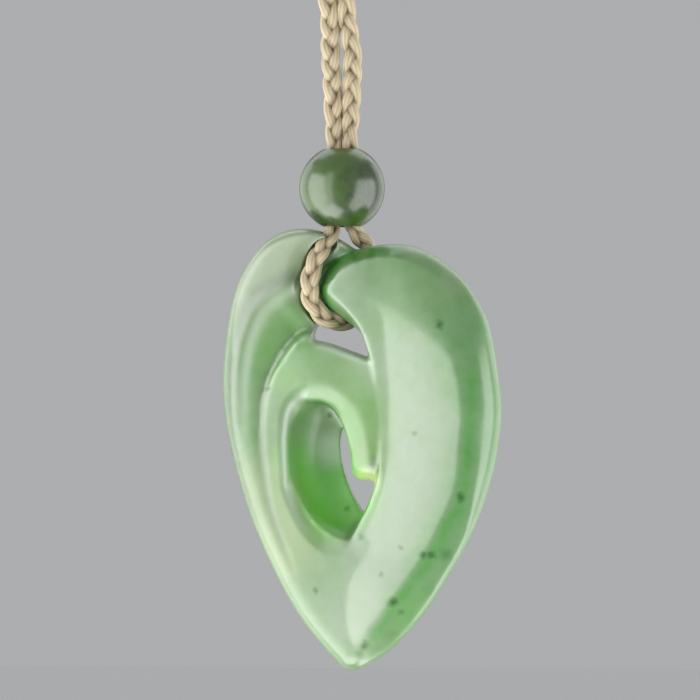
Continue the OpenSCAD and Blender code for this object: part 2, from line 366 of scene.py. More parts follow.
# The carving takes at most this share of the height, and fades where the stone is thinner than this
deepest_share, thin_edge = 0.8, 2
front_rings = []
for share in reversed(front_shares):
    ring = np.array(body_ring(share, 0))
    tighter = 1 + top_tightness * eased(ring[:, 2], *top_heights)
    height = body_height * np.interp(share * tighter, *zip(*front_roll))
    drop = np.minimum(carved_drop(ring[:, [0, 2]]), height * deepest_share)
    ring[:, 1] = -(height - drop * eased(height, 0, thin_edge))
    front_rings.append(ring)
back_rings = [body_ring(share, rise * body_height) for share, rise in back_roll]
stone = loft("stone", front_rings + back_rings)
print("left body:", len(stone.data.polygons), "faces")


# %% [markdown]
# ## The stone: eye and holes
# The bowl of the eye is a ball that is stretched and leaned in edit mode, and the two holes are
# outlines extruded right through the stone. Each is taken off with a boolean.

# %% Bowl of the eye
def leaning_ball(name, middle, radii, lean_degrees):
    """A ball stretched to three radii and leaned in the plane of the stone's face."""
    bpy.ops.object.select_all(action="DESELECT")
    bpy.ops.mesh.primitive_uv_sphere_add(segments=96, ring_count=48, radius=1, location=middle)
    ball = bpy.context.object
    ball.name = name
    bpy.ops.object.mode_set(mode="EDIT")
    bpy.ops.mesh.select_all(action="SELECT")
    bpy.ops.transform.resize(value=radii)
    bpy.ops.transform.rotate(value=math.radians(lean_degrees), orient_axis="Y", center_override=middle)
    bpy.ops.object.mode_set(mode="OBJECT")
    only(ball)
    bpy.ops.object.transform_apply(location=True, rotation=True, scale=True)
    return outward(ball)


bowl_middle = (0.7, -4.6, -31.6)
bowl_radii = (7.15, 6.8, 9.35)
BOWL_LEAN = 12
carved(stone, leaning_ball("eye_bowl", bowl_middle, bowl_radii, BOWL_LEAN))
print("after the eye:", len(stone.data.polygons), "faces")

# %% Holes right through
upper_hole = [
    (-3.4, -17.4), (-3.1, -16.3), (-2, -15), (0.5, -14.4), (3, -15), (6.5, -19), (6.5, -21), (3.2, -20.4),
    (0.8, -19.3), (-1.2, -18.8), (-2.9, -18.3),
]
lower_hole = [
    (0.1, -27.8), (-0.3, -29.9), (0, -32.4), (0.9, -35.1), (2, -37), (3, -38.2), (6, -36), (5.5, -33),
    (2.6, -32.8), (1.8, -31), (1.2, -29),
]
HOLE_STEPS = 5
hole_reach = 15


def hole(name, outline):
    """An outline drawn smooth in front of the stone and extruded right through it."""
    points = curve_points(outline, HOLE_STEPS, closed=True)
    bpy.ops.object.select_all(action="DESELECT")
    bpy.ops.mesh.primitive_circle_add(vertices=len(points), fill_type="NGON")
    tool = bpy.context.object
    tool.name = name
    for vertex, (x, z) in zip(tool.data.vertices, points):
        vertex.co = (x, -hole_reach, z)
    bpy.ops.object.mode_set(mode="EDIT")
    bpy.ops.mesh.select_all(action="SELECT")
    bpy.ops.mesh.extrude_region_move(TRANSFORM_OT_translate={"value": (0, 2 * hole_reach, 0)})
    bpy.ops.object.mode_set(mode="OBJECT")
    return outward(tool)


carved(stone, hole("upper_hole", upper_hole))
carved(stone, hole("lower_hole", lower_hole))
print("after the holes:", len(stone.data.polygons), "faces")

# %% [markdown]
# ## The stone: the right limb
# The broad right limb is the pendant's main form. Its head is a flat facet with a bevelled wall round
# it. Further down a narrow flat strip at the inner edge meets, at a crease, a face that looks inward
# and rises to a crest, behind which the surface falls and rolls off to the outer edge. The slopes
# are what the light shows, so each section is drawn by its slopes.

# %% Path and section of the limb
# Columns: outer edge x and z, inner edge x and z, share of the full thickness.
limb_rows = [
    (-2.9, -11.5, -2.9, -12.1, 0.35), (-2.45, -10.2, -2.45, -13.4, 0.55), (-1.9, -9.3, -1.95, -14.2, 0.78),
    (-1.3, -8.6, -1.35, -14.9, 0.97), (0.6, -7.5, 0.3, -15.4, 1), (5, -6.6, 2.2, -16.8, 1),
    (9.2, -7.1, 2.9, -18.4, 1), (13.4, -9.9, 3.4, -20, 1), (16.4, -14.1, 3.9, -22.3, 1),
    (17.7, -18.3, 4.2, -24.7, 1), (18.6, -24.9, 4.5, -27.6, 1), (18.3, -29.3, 4.5, -31, 1),
    (17.3, -34.3, 4, -34.2, 1), (15.3, -39.9, 2.8, -37.3, 1), (13, -44.1, 0.9, -40.9, 0.99),
    (9.9, -49, -0.8, -45.6, 0.97), (6.3, -53.1, -1, -50.2, 0.95), (3.4, -55.2, -0.3, -53, 0.84),
    (1.6, -56, 0.5, -55.2, 0.45),
]
# Columns: shares of the way across at the crease, the crest and the start of the roll, share of the
# inward face's slope, slopes behind the crest at its start and end in degrees, height of the inner
# strip, share of the head's straight wall, and width of the inner edge as a share.
limb_shape = [
    (0.48, 0.51, 0.55, 0, 0, 1, 3.9, 1, 0.45), (0.48, 0.51, 0.55, 0, 0, 1, 3.9, 1, 0.45),
    (0.48, 0.51, 0.55, 0, 0, 1, 3.9, 1, 0.45), (0.48, 0.51, 0.56, 0, 0, 1, 3.9, 1, 0.43),
    (0.4, 0.45, 0.77, 0.1, 1, 5, 3.9, 1, 0.2), (0.36, 0.4, 0.85, 0.25, 4, 12, 3.88, 0.85, 0.04),
    (0.3, 0.42, 0.85, 0.5, 5, 16, 3.85, 0.5, 0.014), (0.18, 0.45, 0.85, 0.7, 6, 21, 3.8, 0.2, 0.014),
    (0.128, 0.55, 0.855, 0.84, 7, 27, 3.72, 0.05, 0.014), (0.11, 0.65, 0.87, 0.93, 8, 31, 3.68, 0, 0.014),
    (0.083, 0.667, 0.875, 1, 9, 33, 3.66, 0, 0.014), (0.08, 0.66, 0.875, 1, 9, 33, 3.66, 0, 0.014),
    (0.08, 0.69, 0.895, 1, 10, 30, 3.64, 0, 0.014), (0.09, 0.67, 0.95, 1, 10, 26, 3.58, 0, 0.014),
    (0.115, 0.665, 0.96, 1, 10, 25, 3.45, 0, 0.02), (0.1, 0.6, 0.955, 1, 10, 25, 3.6, 0, 0.02),
    (0.2, 0.5, 0.94, 1, 9, 24, 3.75, 0, 0.014), (0.34, 0.44, 0.9, 0.8, 7, 22, 3.8, 0, 0.014),
    (0.38, 0.44, 0.82, 0.4, 5, 20, 3.8, 0, 0.014),
]
# Slopes of the inward face at its crease and its crest, in degrees
face_start, face_end = 17, 5
# Columns: share of the way through the roll, share of the height, for the limb and for the head's wall.
outer_roll = [
    (0, 1, 1), (0.06, 0.975, 0.975), (0.14, 0.945, 0.92), (0.28, 0.885, 0.8), (0.42, 0.81, 0.68),
    (0.56, 0.715, 0.56), (0.7, 0.59, 0.44), (0.82, 0.45, 0.33), (0.91, 0.31, 0.22), (0.97, 0.17, 0.12),
]
# Columns: share of the inner edge's width, share of the strip's height, for the limb and the head's wall.
inner_edge = [
    (0, 0.3, 0.12), (0.06, 0.55, 0.2), (0.2, 0.78, 0.36), (0.4, 0.91, 0.56), (0.65, 0.98, 0.79),
    (0.85, 1, 0.94), (1, 1, 1),
]
back_height = 4.1
# Back of the section. Columns: share of the way across, share of the back's height.
limb_back = [
    (0.993, 0.23), (0.98, 0.37), (0.95, 0.53), (0.9, 0.68), (0.82, 0.82), (0.7, 0.92), (0.55, 0.98),
    (0.35, 1), (0.15, 0.99), (0.06, 0.94), (0.02, 0.79), (0.005, 0.58),
]
LIMB_STEPS = 14
# Parts of each sloping face and of the inner strip
FACE_PARTS = 10
STRIP_PARTS = 5


def sloped(start, end, first, last, width):
    """Shares across, and the rise over a slope that changes evenly between two values in degrees."""
    shares = np.linspace(start, end, FACE_PARTS + 1)
    slopes = np.tan(np.radians(np.linspace(first, last, FACE_PARTS + 1)))
    rises = np.concatenate([[0], np.cumsum((slopes[1:] + slopes[:-1]) / 2 * np.diff(shares) * width)])
    return shares[1:], rises[1:]


def with_wall(table, wall):
    """A table's heights, mixed from the limb's and the head's by the share of the straight wall."""
    return [(share, limb * (1 - wall) + head * wall) for share, limb, head in table]


def limb_section(width, crease, crest, roll, face, fall_start, fall_end, strip, wall, edge_width):
    """Shares of the way across and heights, from the inner edge over the front to the outer edge."""
    section = [(share * edge_width, strip * part) for share, part in with_wall(inner_edge, wall)]
    section += [(share, strip) for share in np.linspace(edge_width, crease, STRIP_PARTS + 1)[1:]]
    shares, rises = sloped(crease, crest, face_start * face, face_end * face, width)
    section += list(zip(shares, strip + rises))
    top = strip + rises[-1]
    shares, rises = sloped(crest, roll, -fall_start, -fall_end, width)
    section += list(zip(shares, top + rises))
    top += rises[-1]
    rest = with_wall(outer_roll[1:], wall)
    section += [(roll + (1 - roll) * share, top * part) for share, part in rest]
    return section


def laid_across(outer_x, outer_z, inner_x, inner_z, section):
    """Points of a section's shares and heights, laid from the inner edge to the outer edge."""
    return [
        (inner_x + (outer_x - inner_x) * share, height, inner_z + (outer_z - inner_z) * share)
        for share, height in section
    ]


def limb_ring(outer_x, outer_z, inner_x, inner_z, thick, *shape):
    """One section of the limb, from its inner wall over the front to the outer edge and back."""
    width = math.hypot(outer_x - inner_x, outer_z - inner_z)
    front = [(share, -height) for share, height in limb_section(width, *shape)]
    section = front + [(1, 0)] + [(share, part * back_height) for share, part in limb_back]
    section = [(share, height * thick) for share, height in section]
    return laid_across(outer_x, outer_z, inner_x, inner_z, section)


limb_table = np.hstack([limb_rows, limb_shape])
limb = loft("limb", [limb_ring(*row) for row in curve_points(limb_table, LIMB_STEPS)])
print("right limb:", len(limb.data.polygons), "faces")

# %% [markdown]
# ## The stone: the spiral arm
# The arm starts flush with the face beside the channel, curls over the eye and ends in a blunt round
# tip. Its crest keeps near the eye: inside it a rounded bevel drops to the bowl, and outside it the
# surface falls away gently, and then rolls down to the upper hole and the limb.

# %% Sections of the arm
# Columns: outer edge x and z, inner edge x and z, share across at the crest, heights at the inner
# edge, the crest and the start of the outer roll, and back height.
arm_rows = [
    (-7.2, -38, -5.7, -37.4, 0.5, 2.4, 3.5, 3.45, 2.4),
    (-8.1, -33.4, -5.9, -33.6, 0.5, 2.6, 3.68, 3.66, 2.6),
    (-8.75, -29.3, -6.1, -29.3, 0.45, 2.7, 3.72, 3.7, 3),
    (-8.8, -24.9, -5.6, -26, 0.38, 2.6, 3.75, 3.7, 3.3),
    (-7.6, -20.8, -4.6, -25, 0.34, 2.5, 3.78, 3.68, 3.3),
    (-5.6, -18, -3.5, -24.8, 0.31, 2.45, 3.8, 3.5, 3.3),
    (-2.9, -17.7, -2.1, -24.9, 0.3, 2.5, 3.8, 3.25, 3.3),
    (0.6, -18.7, -0.8, -25.7, 0.3, 2.5, 3.78, 3.2, 3.3),
    (5.4, -20.8, 0.1, -27.4, 0.3, 2.6, 3.78, 3.5, 3.3),
    (6.8, -23.5, 0.7, -29.1, 0.31, 2.6, 3.76, 3.5, 3.2),
    (6.9, -27.3, 1.1, -30.7, 0.34, 2.5, 3.7, 3.45, 3),
    (6.9, -30.5, 1.2, -32.2, 0.36, 2.2, 3.45, 3.25, 2.8),
    (6.4, -32.7, 1.4, -33.2, 0.4, 1.6, 2.8, 2.6, 2.3),
    (5.4, -33.9, 2, -33.9, 0.5, 0.7, 1.4, 1.3, 1.3),
]
ARM_STEPS = 12
roll_start = 0.93
# Columns: share of the way through, share of the drop, for the inner bevel and the outer roll.
bevel_round = [
    (0, 0), (0.05, 0.12), (0.15, 0.27), (0.3, 0.46), (0.45, 0.62), (0.6, 0.76), (0.8, 0.91), (1, 1),
]
edge_round = [(0, 1), (0.25, 0.95), (0.5, 0.82), (0.7, 0.64), (0.85, 0.45), (0.95, 0.26), (1, 0.1)]
# How the surface bows from the crest to the roll, in how many parts
sag_bow = 1.3
SAG_PARTS = 8
# The arm's back lies mostly inside the body. How far its roll reaches as a share of its height, shares
# across on its flat part, width and lowest share of its inner edge, and steps of that edge
back_reach = 1.1
back_shares = (0.7, 0.5, 0.3)
back_edge, back_lowest = 0.2, 0.2
back_steps = (1, 0.6, 0.3, 0.1, 0)


def arm_ring(outer_x, outer_z, inner_x, inner_z, crest, low, top, shoulder, back):
    """One section of the arm, from its inner edge over the crest to the outer edge and back."""
    section = [(crest * share, -(low + (top - low) * part)) for share, part in bevel_round]
    for share in np.linspace(0, 1, SAG_PARTS + 1)[1:]:
        sag = (top - shoulder) * share ** sag_bow
        section.append((crest + (roll_start - crest) * share, -(top - sag)))
    roll = 1 - roll_start
    section += [(roll_start + roll * share, -shoulder * part) for share, part in edge_round[1:]]
    section += [(1 - roll * share, back * (back_reach - part)) for share, part in reversed(edge_round)]
    section += [(share, back) for share in back_shares]
    section += [
        (back_edge * step, back * (back_lowest + (1 - back_lowest) * step ** 0.5)) for step in back_steps
    ]
    return laid_across(outer_x, outer_z, inner_x, inner_z, section)


arm = loft("arm", [arm_ring(*row) for row in curve_points(arm_rows, ARM_STEPS)])
print("spiral arm:", len(arm.data.polygons), "faces")

# %% [markdown]
# ## The cord's route
# The cord is one length: down from the nape on the left, through the bead, in front of the stone,
# through its upper hole, up behind it, back through the bead and up to the nape on the right. The
# points are the frame's own, so the plait lies where the plain tube lies. Under the bead the route
# turns with the stone.

# %% Route of the cord
# Columns: x, y, z from the middle of the bead.
route = [
    (-0.6, 0, 300), (-8, 0, 300), (-17, 0, 299), (-38, 0, 288), (-55, 0, 260), (-58, 0, 215),
    (-46, 0, 154), (-26, 0, 90), (-9, 0, 46), (-2.3, 0, 25), (-1.3, 0, 15), (-0.95, 0, 7),
    (-0.95, 0, 0), (-0.95, 0, -3.2), (-1.3, -0.9, -5.5), (-2.4, -2.5, -7.4), (-3.4, -3.3, -9.8),
    (-3.6, -3.2, -12.4), (-2.6, -2.2, -14.5), (-0.7, -0.2, -15.5), (1.2, 2.4, -15.1),
    (2.5, 4.7, -13.6), (3.1, 5.5, -11.2), (3.2, 4.1, -8.6), (2.7, 2.3, -6.5), (1.4, 0.6, -5),
    (0.95, 0, -3), (0.95, 0, 0), (0.95, 0, 7), (1.2, 0, 15), (0.8, 0, 25), (7, 0, 46), (25, 0, 90),
    (46, 0, 154), (58, 0, 215), (55, 0, 260), (38, 0, 288), (17, 0, 299), (8, 0, 300), (0.6, 0, 300),
]
# Heights between which the route goes over to the stone's turn
turn_start, turn_end = -3, -6


def turned_route():
    """The route with its stretch under the bead turned as the stone is."""
    points = []
    for x, y, z in route:
        share = max(0, min(1, (turn_start - z) / (turn_start - turn_end)))
        points.append((x, y - lean * share * x, z))
    return points


ROUTE_STEPS = 40
cord_line = curve_points(turned_route(), ROUTE_STEPS)
cord_run = np.concatenate([[0], np.cumsum(np.linalg.norm(np.diff(cord_line, axis=0), axis=1))])
cord_length = cord_run[-1]
print("cord length in mm:", round(cord_length, 1))


def cord_at(run):
    """Points of the cord's middle line at distances along it."""
    return np.stack([np.interp(run, cord_run, cord_line[:, k]) for k in range(3)], axis=1)


# %% [markdown]
# ## The stone in one piece
# The three forms are joined, the groove that the cord lies in is taken off, and a voxel remesh welds
# everything into one even skin, as the polishing wheel does. A light smoothing then softens every
# edge by a few tenths of a millimetre, and a few places are polished softer still. What the finish
# has to know of the form, such as where its edges are, stays with the mesh as values at its points.
# Last, the stone shrinks to its real size, turns to the left as it hangs, and goes under the bead.

# %% Join the forms and take off the cord's groove
carved(stone, limb, "UNION")
carved(stone, arm, "UNION")

cord_radius = 1.15
groove_gap = 0.1
GROOVE_SIDES = 24
CORD_POINTS = 1400
# Only what hangs lower than this comes near the stone
groove_top = -2
groove_line = [p for p in cord_at(np.linspace(0, cord_length, CORD_POINTS)) if p[2] < groove_top]
groove_rings = []
for k, (x, y, z) in enumerate(groove_line):
    ahead = Vector(groove_line[min(k + 1, len(groove_line) - 1)])
    behind = Vector(groove_line[max(k - 1, 0)])
    along = (ahead - behind).normalized()
    # The first ring starts anywhere across the cord, and each next one carries that on without a twist
    carried = first - along * first.dot(along) if k else along.orthogonal()
    first = carried.normalized()
    # The stone isn't turned yet, so the cord is turned back
    middle = Vector((x, y + lean * x, z))
    groove_rings.append(circle(middle, first, along.cross(first), cord_radius + groove_gap, GROOVE_SIDES))
carved(stone, loft("groove", groove_rings))
print("stone before the remesh:", len(stone.data.polygons), "faces")

# %% One even skin
voxel = 0.215
finished(stone, "REMESH", mode="VOXEL", voxel_size=voxel)
finished(stone, "SMOOTH", factor=0.5, iterations=5)
print("skin:", len(stone.data.vertices), "points")


# %% Places polished softer
def evened(values, edges, rounds):
    """Values at a mesh's points, averaged with their neighbours' values a number of times."""
    count = len(values)
    ends = np.concatenate([edges[:, 0], edges[:, 1]])
    others = np.concatenate([edges[:, 1], edges[:, 0]])
    neighbours = np.bincount(ends, minlength=count)
    for _ in range(rounds):
        sums = [np.bincount(ends, values[others, k], count) for k in range(values.shape[1])]
        values = (values + np.stack(sums, axis=1) / neighbours[:, None]) / 2
    return values


def read_mesh(items, name, width, kind=np.float64):
    """One property of all items of a mesh, as rows."""
    flat = np.empty(len(items) * width, dtype=kind)
    items.foreach_get(name, flat)
    return flat.reshape(-1, width)


# Places polished softer. Columns: x, z, radius in millimetres, strength
soft_places = [
    (-5, -25.9, 2.2, 1), (-6.2, -19.4, 2, 0.8), (-4.2, -17.6, 1.8, 0.7), (1.9, -41.5, 1.6, 1),
    (3.4, -34.5, 1.2, 0.6), (2.6, -36.8, 1.2, 0.6), (1.5, -39.3, 1.2, 0.6),
]
POLISH_ROUNDS = 30
skin = read_mesh(stone.data.vertices, "co", 3)
skin_edges = read_mesh(stone.data.edges, "vertices", 2, np.int32)
polish = np.zeros(len(skin))
for x, z, radius, strength in soft_places:
    apart = np.hypot(skin[:, 0] - x, skin[:, 2] - z)
    polish = np.maximum(polish, strength * np.exp(-(apart / radius) ** 2))
skin += (evened(skin, skin_edges, POLISH_ROUNDS) - skin) * polish[:, None]
stone.data.vertices.foreach_set("co", skin.ravel())
stone.data.update()
print("places polished softer:", len(soft_places))


# %% Edges and hollows
def keep_at_points(mesh, name, values):
    """Keeps one value at each point of a mesh, for its finish to read."""
    mesh.attributes.new(name, "FLOAT", "POINT").data.foreach_set("value", values)


EVEN_ROUNDS = 60
# The finish needs no more than every fourth point of a line
LINE_SKIP = 4
# The limb's inner edge isn't pale on the real stone, so it gets no painted edge highlight: it doesn't
# count as an edge this near its line
inner_line = smooth_line([(4.3, -20), (4.2, -24.7), (4, -29.3), (3.6, -32.8), (2.5, -36.9), (0.8, -41)])
inner_width = 1.1
# Depths between which the marks of the front end, towards the back
front_depths = (2.3, 2.9)
face_places = skin[:, [0, 2]]
skin_way = read_mesh(stone.data.vertex_normals, "vector", 3)
# An edge stands out of the wide average of the skin round it, and a hollow lies under it
bulge = ((skin - evened(skin, skin_edges, EVEN_ROUNDS)) * skin_way).sum(1)
off_inner, _ = beside(face_places, inner_line[::LINE_SKIP])
bulge *= 1 - np.exp(-(off_inner / inner_width) ** 2)
keep_at_points(stone.data, "bulge", bulge)
keep_at_points(stone.data, "in_front", 1 - eased(skin[:, 1], *front_depths))
print("bulge in mm, from hollow to edge:", np.percentile(bulge, [1, 10, 50, 90, 99]).round(3))

# %% Painted light and shade beside the carved lines
low_inner_line = smooth_line([(3.9, -31.5), (3.5, -33.5), (2.5, -36.9), (0.8, -41)])
hole_line = smooth_line([(-3.2, -17.7), (-1, -18.5), (2, -19.7), (4.4, -20.6)])
limb_crest_line = smooth_line([
    (15, -22), (15, -26), (14.6, -29.3), (14.3, -34), (13.4, -37), (12.2, -39.1), (10.6, -42.6),
    (8.2, -45.4), (6.4, -48), (3.7, -51.6),
])
# Columns: line, how far to its left, width, shares of the line between which it fades, strength
# Painted light and shade. The pale bands are painted highlights on the eye's rim, the channel's wall
# beside the crest, the ridge and the upper hole's lower edge. The dark bands are painted shade on the
# slope beside the crest, in the channel beside the ridge, and over the limb's lower inner edge, where they
# take down its highlight. The deep band is painted shade just past the limb's crest, where the surface
# falls from the light.
bands = {
    "painted_highlight_band": [
        (eye_line, -0.55, 0.6, 0.65, 0.9, 0.6), (crest_line, 0.85, 0.65, 0.4, 0.7, 0.6),
        (ridge_line, 0, 0.3, 0.3, 0.6, 0.15), (hole_line, 0, 0.45, 0.75, 0.98, 0.8),
    ],
    "painted_shade_band": [
        (crest_line, -0.95, 1, 0.7, 0.9, 0.8), (ridge_line, -0.6, 0.5, 0.7, 0.9, 0.6),
        (low_inner_line, 0, 0.55, 1, 1.1, 0.7),
    ],
    "painted_deep_shade_band": [(limb_crest_line, 0.2, 0.6, 1, 1.1, 0.7)],
}
# The bands are on the front only. Depths between which they end
band_depths = (-1, 0)
for kind, lines in bands.items():
    amount = np.zeros(len(skin))
    for line, to_left, width, fade_start, fade_end, strength in lines:
        off_line, along_line = beside(face_places, line[::LINE_SKIP])
        band = np.exp(-((off_line - to_left) / width) ** 2)
        amount = np.maximum(amount, strength * band * (1 - eased(along_line, fade_start, fade_end)))
    keep_at_points(stone.data, kind, amount * (1 - eased(skin[:, 1], *band_depths)))
print("bands:", ", ".join(bands))

# %% Hang the stone
turned_left = Matrix(((1, 0, 0, 0), (-lean, 1, 0, 0), (0, 0, 1, 0), (0, 0, 0, 1)))
hang = in_frame(bead_middle) @ turned_left
settled(stone, hang)
stone.name = "carved_stone"
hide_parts("pendant")
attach(stone, "root")
print("stone:", len(stone.data.polygons), "faces")

# %% [markdown]
# ## Materials as Python sums
# A material is easier to read as a sum than as a web of boxes. `Amount` wraps one output of a node,
# and plus, minus, times and the rest add the Math nodes. Every other node comes from `node`.

# %% A small class for shader sums
class Amount:
    """One output of a material's nodes, on which Python's own arithmetic works."""

    def __init__(self, tree, out):
        self.tree = tree
        self.out = out

    def maths(self, operation, first, second):
        """A Math node over two amounts or numbers."""
        return node(self.tree, "ShaderNodeMath", {"operation": operation}, {0: first, 1: second})

    def highest(self, other):
        """The greater of two amounts."""
        return self.maths("MAXIMUM", self, other)

    def __add__(self, other):
        return self.maths("ADD", self, other)

    def __sub__(self, other):
        return self.maths("SUBTRACT", self, other)

    def __rsub__(self, other):
        return self.maths("SUBTRACT", other, self)

    def __mul__(self, other):
        return self.maths("MULTIPLY", self, other)

    __radd__ = __add__
    __rmul__ = __mul__


def node(tree, kind, settings, values, output=0):
    """Adds a node with its settings, then its sockets' values or links, and returns one output."""
    made = tree.nodes.new(kind)
    for name, value in settings.items():
        setattr(made, name, value)
    for socket, value in values.items():
        if isinstance(value, Amount):
            tree.links.new(value.out, made.inputs[socket])
        else:
            made.inputs[socket].default_value = value
    return Amount(tree, made.outputs[output])


def blend(tree, share, first, second):
    """A mix of two colours. Each may be a colour or an output."""
    ends = [value if isinstance(value, Amount) else (*value, 1) for value in (first, second)]
    return node(tree, "ShaderNodeMix", {"data_type": "RGBA"}, {0: share, 6: ends[0], 7: ends[1]}, 2)


def new_finish(name, **settings):
    """A material and its one surface shader, with the values that are the same all over."""
    finish = bpy.data.materials.new(name)
    finish.use_nodes = True
    shader = finish.node_tree.nodes["Principled BSDF"]
    for socket, value in settings.items():
        shader.inputs[socket.replace("_", " ")].default_value = value
    return finish, finish.node_tree, shader


def feed(shader, socket, amount):
    """Links an output to the surface shader."""
    shader.id_data.links.new(amount.out, shader.inputs[socket])


def dress(piece, finish):
    """Makes a finish the only one of a piece."""
    piece.data.materials.clear()
    piece.data.materials.append(finish)


# %% Noise, masks and dents
def noise(tree, place, scale, detail=3.0, rough=0.5):
    """Noise between nought and one. Its scale is in cells to a unit of the place, mostly a metre."""
    return node(tree, "ShaderNodeTexNoise", {},
                {"Vector": place, "Scale": scale, "Detail": detail, "Roughness": rough})


def rising(tree, amount, low, high, most=1.0):
    """Nought at a low amount, rising evenly to the most at a high one."""
    return node(tree, "ShaderNodeMapRange", {}, {0: amount, 1: low, 2: high, 3: 0.0, 4: most})


def ball_mask(tree, place, middle, radius, softness):
    """One inside a ball and nought outside it, with a soft edge."""
    apart = node(tree, "ShaderNodeVectorMath", {"operation": "DISTANCE"},
                 {0: place, 1: tuple(middle)}, "Value")
    return node(tree, "ShaderNodeMapRange", {"interpolation_type": "SMOOTHSTEP"},
                {0: apart, 1: radius * (1 + softness), 2: radius * (1 - softness), 3: 0.0, 4: 1.0})


def point_value(tree, name):
    """A value that the mesh keeps at its points."""
    return node(tree, "ShaderNodeAttribute", {"attribute_name": name}, {}, "Fac")


def dented(tree, height, strength, distance):
    """The way a surface faces when a height dents it, with its distance in metres."""
    return node(tree, "ShaderNodeBump", {}, {"Strength": strength, "Distance": distance, "Height": height})


# %% [markdown]
# ## Polished green stone
# Jade is cloudy: its green drifts over a few millimetres, and dark specks of mineral lie just under the
# polish. Light enters and spreads a little before it leaves, so part of the diffuse light is subsurface.
# The clouds are noise on Object coordinates, and the specks are soft balls at the places where the real
# stone has them. Much of the colour is painted light and shade: soft balls paint a pale sheen where light
# falls, a glow at the arm's tip and shade in the hollows, and from the values that the mesh keeps at its
# points the edges are painted pale as highlights, the hollows darker as shade, and bands beside the
# carved lines as highlights and shade.

# %% Where the stone changes
# Columns of the specks and smudges: x, z under the bead, radius in millimetres, strength
specks = [
    (11.5, -16, 0.45, 0.9), (13.95, -35.6, 0.45, 0.9), (9.7, -42.3, 0.42, 0.9), (10.6, -42.2, 0.45, 0.9),
    (12.3, -42.2, 0.6, 0.5), (6.2, -47.7, 0.5, 1), (7.2, -48.9, 0.35, 0.5), (2.9, -52.8, 0.45, 0.8),
    (-2.9, -46.6, 0.3, 0.6), (0.6, -37.3, 0.3, 0.5), (-1.4, -26.4, 0.25, 0.7), (2.4, -40.4, 0.3, 0.4),
    (8.6, -28.4, 0.28, 0.4), (7.1, -41.4, 0.3, 0.4), (-8.6, -23.4, 0.25, 0.5), (4.8, -44.6, 0.25, 0.4),
]
back_specks = [
    (-3, -20.5, 0.4, 0.9), (9, -38.4, 0.45, 0.9), (9.8, -37.9, 0.3, 0.7), (-8.2, -33.5, 0.35, 0.8),
    (12.4, -23, 0.3, 0.7), (2.2, -47.2, 0.4, 0.8), (6.4, -14.8, 0.3, 0.6),
]
smudges = [
    (5.9, -18, 0.7, 0.5), (-12.9, -17.9, 0.8, 0.6), (-12.6, -19, 0.6, 0.5), (-0.2, -12.8, 0.7, 0.4),
    (6.4, -39.2, 0.6, 0.5), (7.3, -29.9, 0.7, 0.35), (12.6, -18.6, 0.6, 0.3),
]

outer_green = (0.08, 0.24, 0.06)
# Painted sheen: pale greens where light falls on the limb's inward face and on the shoulder
painted_sheen_green = (0.21, 0.29, 0.18)
shoulder_painted_sheen = (0.22, 0.28, 0.16)
smudge_green = (0.2, 0.32, 0.26)
# Painted shade for the wall round the head
wall_shade_green = (0.025, 0.19, 0.004)
# Most zones are painted light and shade. The first is the saturated green of light bouncing in the hollow
# of the bowl, and the next four are painted shade in the channel's top and on the spiral arm. The next two
# are painted light where it falls on the channel's lower wall, and the two on the shoulder and the five on
# the limb's inward face are a painted sheen where they look towards the left panels.
# Colour zones. Columns: x, z, radius in millimetres, softness, strength, colour
zones = [
    (-1.5, -34, 6.2, 0.35, 1, (0.11, 0.56, 0.01)), (-7, -18.5, 4.2, 0.7, 0.8, (0.1, 0.3, 0.05)),
    (2.6, -27, 4.4, 0.5, 0.9, (0.075, 0.25, 0.005)), (3.2, -31.5, 2.8, 0.5, 0.8, (0.1, 0.22, 0.01)),
    (-1, -21.5, 3.5, 0.7, 0.7, (0.075, 0.24, 0.01)), (-8.4, -36, 4.6, 0.6, 0.8, (0.23, 0.32, 0.13)),
    (-6.3, -42, 4, 0.6, 0.7, (0.25, 0.34, 0.14)), (-10.5, -10, 6.5, 0.7, 0.75, shoulder_painted_sheen),
    (-4, -6.5, 4, 0.7, 0.6, shoulder_painted_sheen), (7.5, -21, 4.2, 0.5, 0.5, (0.2, 0.28, 0.17)),
    (9.5, -28, 4.6, 0.5, 0.7, painted_sheen_green), (8.5, -35, 4.6, 0.5, 0.7, painted_sheen_green),
    (5, -42, 4.6, 0.5, 0.7, painted_sheen_green), (2, -49, 4, 0.5, 0.8, (0.26, 0.34, 0.22)),
    (7, -11, 4.5, 0.7, 0.6, (0.07, 0.22, 0.035)), (14.5, -17, 3.6, 0.5, 0.8, outer_green),
    (16.8, -23.5, 3.4, 0.5, 0.8, outer_green), (16.8, -29.5, 3.4, 0.5, 0.8, outer_green),
    (15.4, -35, 3.3, 0.5, 0.8, outer_green), (13.2, -40, 3.2, 0.5, 0.8, outer_green),
    (10.6, -44.4, 3, 0.5, 0.8, outer_green), (8, -48.6, 2.7, 0.5, 0.8, (0.09, 0.28, 0.05)),
    (5.3, -52.2, 2.2, 0.5, 0.7, (0.08, 0.24, 0.04)), (0.4, -7.4, 1.3, 0.7, 0.7, (0.4, 0.45, 0.36)),
]
SMUDGE_SOFTNESS, smudge_strength = 0.9, 0.5
smudge_zones = [
    (x, z, radius, SMUDGE_SOFTNESS, strength * smudge_strength, smudge_green)
    for x, z, radius, strength in smudges
]
